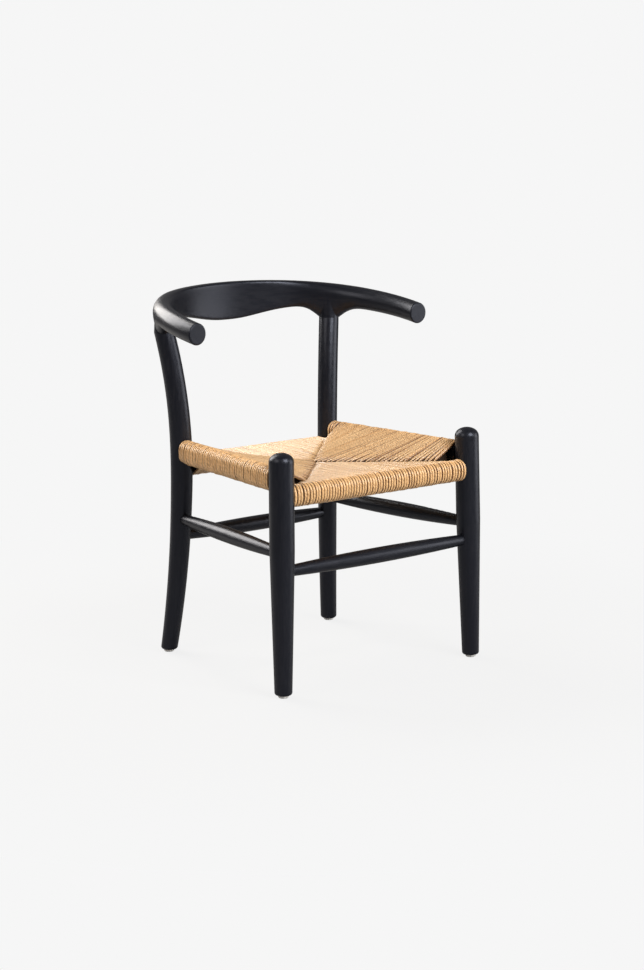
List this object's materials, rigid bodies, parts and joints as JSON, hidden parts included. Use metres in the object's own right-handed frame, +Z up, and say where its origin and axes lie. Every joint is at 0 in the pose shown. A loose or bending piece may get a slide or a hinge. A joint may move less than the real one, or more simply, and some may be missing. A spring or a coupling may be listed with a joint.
{
  "type": "kids chair",
  "caption": "Low wooden armchair for a child: turned legs, a carved rail that forms backrest and short arms, barrel stretchers and a seat woven from cord.",
  "frame": {"origin": "on the floor under the middle of the chair's outline", "axes": "+Z up, -Y the way the sitter faces, +X to the right in a front view"},
  "size_m": [0.4358, 0.3842, 0.534],
  "materials": {
    "black_wood": "black stain under satin lacquer",
    "bare_wood": "bare hardwood, hidden",
    "paper_cord": "twisted kraft paper cord, matt",
    "glide_plastic": "moulded",
    "nail_steel": "bright zinc"
  },
  "bodies": {
    "root": {"cord_tacks": "nail_steel", "foot_glide_front_left": "glide_plastic", "foot_glide_front_right": "glide_plastic", "foot_glide_rear_left": "glide_plastic", "foot_glide_rear_right": "glide_plastic", "front_leg_left": "black_wood", "front_leg_right": "black_wood", "glide_nails": "nail_steel", "rail_dowel_left": "bare_wood", "rail_dowel_right": "bare_wood", "rear_leg_left": "black_wood", "rear_leg_right": "black_wood", "seat_rail_front": "black_wood", "seat_rail_left": "black_wood", "seat_rail_rear": "black_wood", "seat_rail_right": "black_wood", "stretcher_front": "black_wood", "stretcher_left": "black_wood", "stretcher_rear": "black_wood", "stretcher_right": "black_wood", "top_rail": "black_wood", "woven_seat": "paper_cord"}
  },
  "joints": []
}
